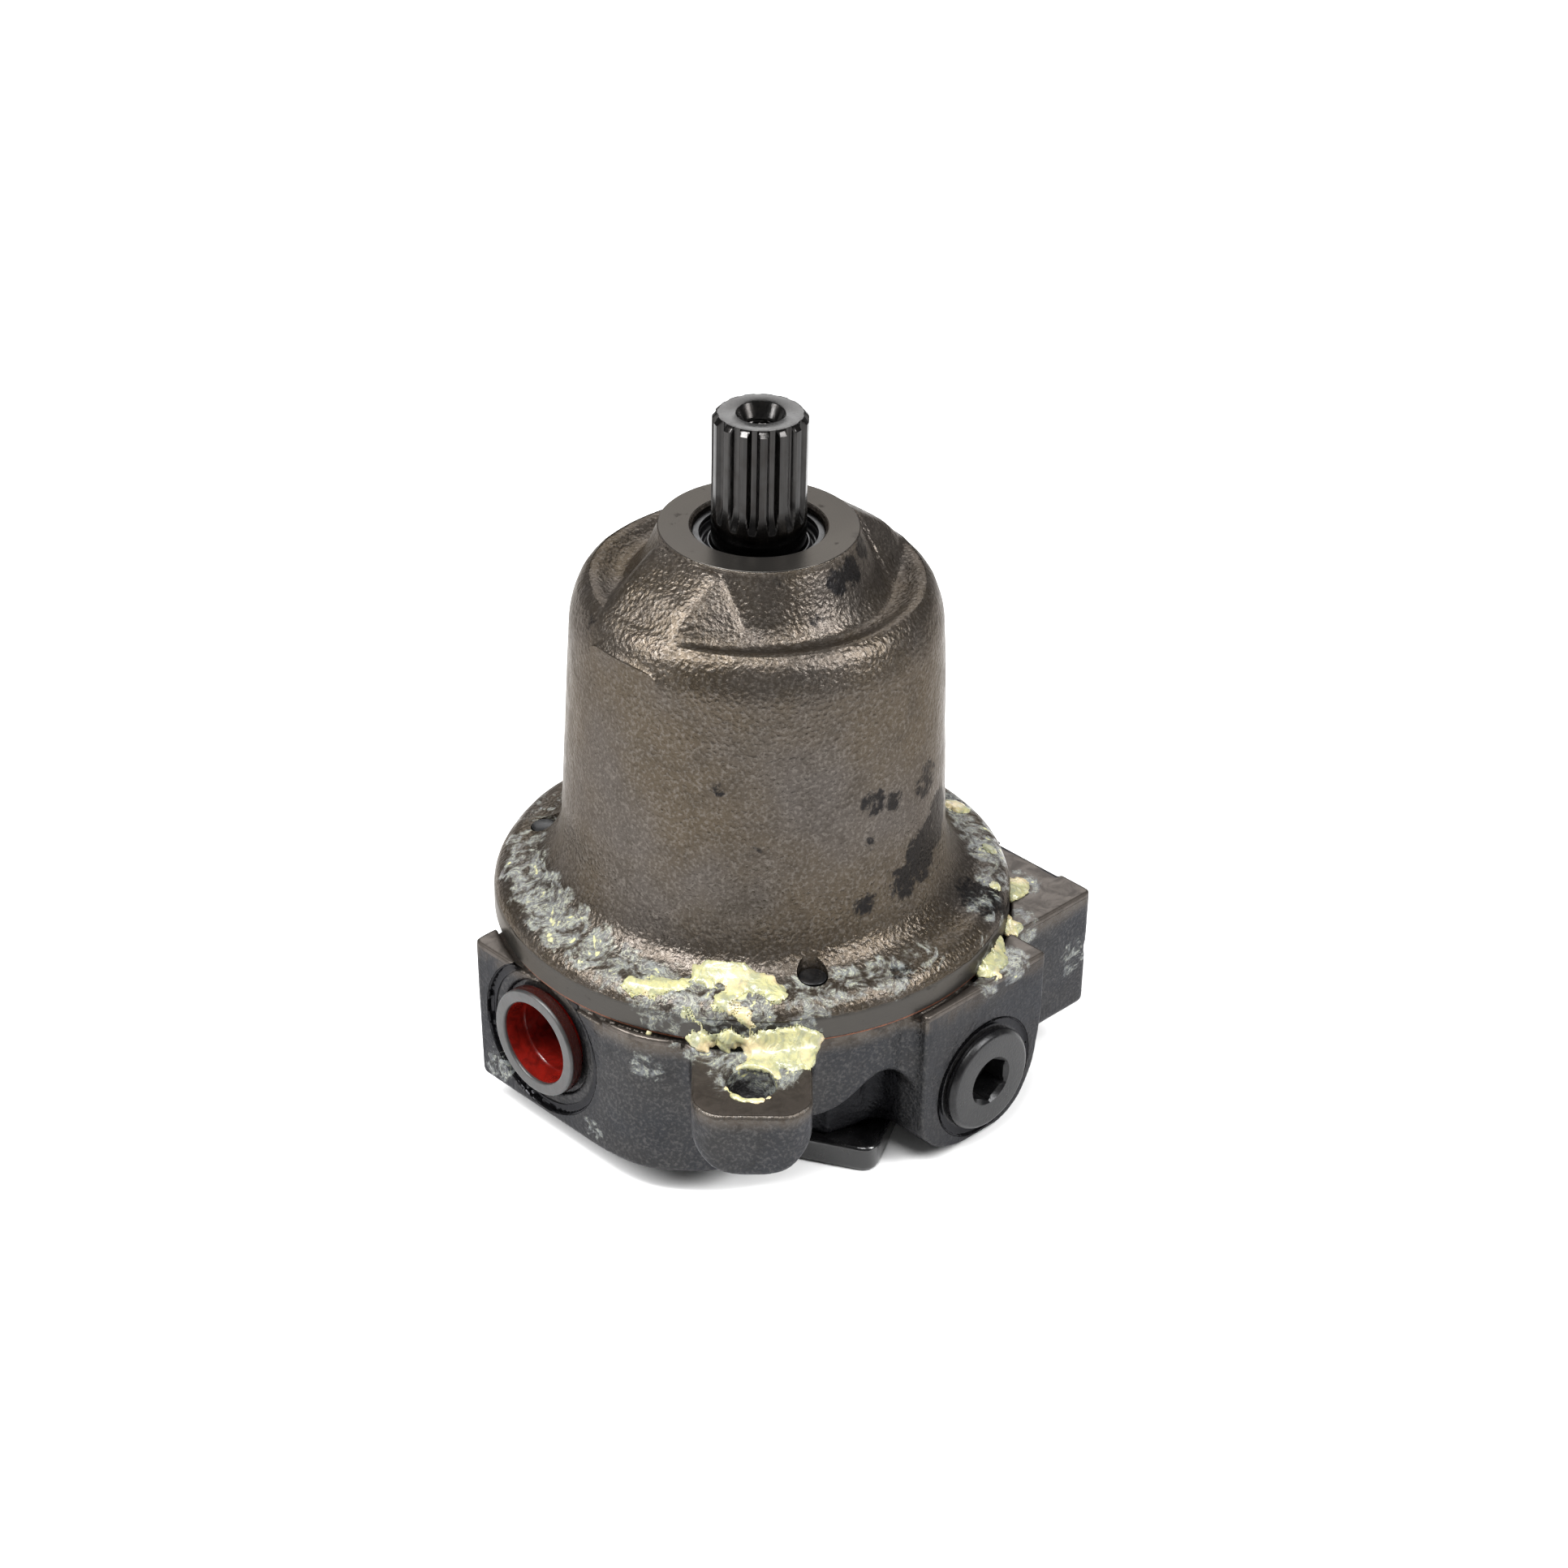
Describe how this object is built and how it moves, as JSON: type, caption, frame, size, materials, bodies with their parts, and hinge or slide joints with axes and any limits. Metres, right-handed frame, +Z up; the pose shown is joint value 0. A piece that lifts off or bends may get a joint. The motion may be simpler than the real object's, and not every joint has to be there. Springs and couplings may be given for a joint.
{
  "type": "axial piston pump",
  "caption": "Bell-housed axial piston pump with a splined shaft, a flanged end cap with plugged side ports and two bolt lugs.",
  "frame": {"origin": "on the shaft's axis, in the resting face of the rear cover", "axes": "+Z up along the shaft towards its splined end; -X out of the inlet port; -Y out of the hexagon plug"},
  "size_m": [0.154, 0.1582, 0.1986],
  "materials": {
    "bell_casting": "oily as-cast skin, satin",
    "cap_casting": "milled and as-cast faces, dark oil film",
    "steel": "ground",
    "black_finish": "black oxide, semi-gloss",
    "bronze": "machined bronze",
    "rubber": "black nitrile",
    "gasket": "orange-brown fibre",
    "red_plastic": "moulded"
  },
  "bodies": {
    "housing": {"bell_housing": "bell_casting", "end_cap": "cap_casting", "cover_gasket": "gasket", "flange_bolt_1": "black_finish", "flange_bolt_2": "black_finish", "flange_bolt_3": "black_finish", "rear_cover": "black_finish", "cover_screw_1": "steel", "cover_screw_2": "steel", "cover_screw_3": "steel", "cover_screw_4": "steel", "inlet_port_plug": "red_plastic", "outlet_port_plug": "red_plastic", "hex_plug": "black_finish", "hex_plug_seal": "rubber", "valve_plate": "bronze", "shaft_seal": "rubber", "seal_snap_ring": "steel", "front_bearing_cup": "steel", "rear_bearing": "steel", "cradle_bearing_inlet_side": "bronze", "cradle_bearing_outlet_side": "bronze", "swashplate": "steel", "control_piston": "steel", "bias_rod": "steel", "bias_spring": "steel"},
    "rotor": {"drive_shaft": "steel", "front_bearing_cone": "steel", "cylinder_block": "steel", "ball_guide": "steel", "block_spring": "steel", "block_snap_ring": "steel", "retainer_plate": "steel", "piston_1": "steel", "slipper_1": "bronze", "piston_2": "steel", "slipper_2": "bronze", "piston_3": "steel", "slipper_3": "bronze", "piston_4": "steel", "slipper_4": "bronze", "piston_5": "steel", "slipper_5": "bronze", "piston_6": "steel", "slipper_6": "bronze", "piston_7": "steel", "slipper_7": "bronze", "piston_8": "steel", "slipper_8": "bronze", "piston_9": "steel", "slipper_9": "bronze"}
  },
  "joints": [
    {"name": "shaft_spin", "type": "hinge", "parent": "housing", "child": "rotor", "pos_m": [0, 0, 0.1], "axis": [0, 0, 1], "continuous": true}
  ]
}
